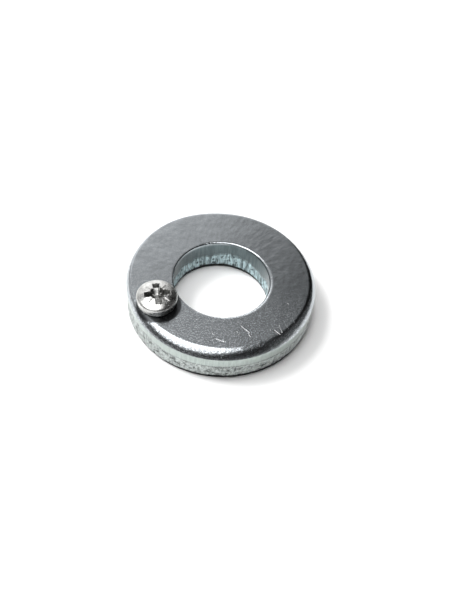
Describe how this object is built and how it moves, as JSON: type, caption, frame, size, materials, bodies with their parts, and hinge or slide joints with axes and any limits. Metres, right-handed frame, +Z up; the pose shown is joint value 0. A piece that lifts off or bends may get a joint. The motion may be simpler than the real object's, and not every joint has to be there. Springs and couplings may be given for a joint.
{
  "type": "shaft collar",
  "caption": "Flat punched steel shaft collar with a plain bore, a rolled upper edge and a cross-recess pan-head screw tapped into its face.",
  "frame": {"origin": "on the bore's axis, at the ring's bottom face", "axes": "+Z up along the bore, towards the face that holds the screw; the screw stands in the -X, -Y quarter"},
  "size_m": [0.038, 0.038, 0.0105],
  "materials": {
    "zinc_ring": "bright zinc plate over punched steel, smooth face, torn lower edges",
    "zinc_screw": "bright zinc plate, lighter than the ring"
  },
  "bodies": {
    "collar": {"collar_ring": "zinc_ring"},
    "screw": {"pan_head_screw": "zinc_screw"}
  },
  "joints": [
    {"name": "screw_travel", "type": "slide", "parent": "collar", "child": "screw", "axis": [0, 0, 1], "range_m": [0, 0.0056]}
  ]
}
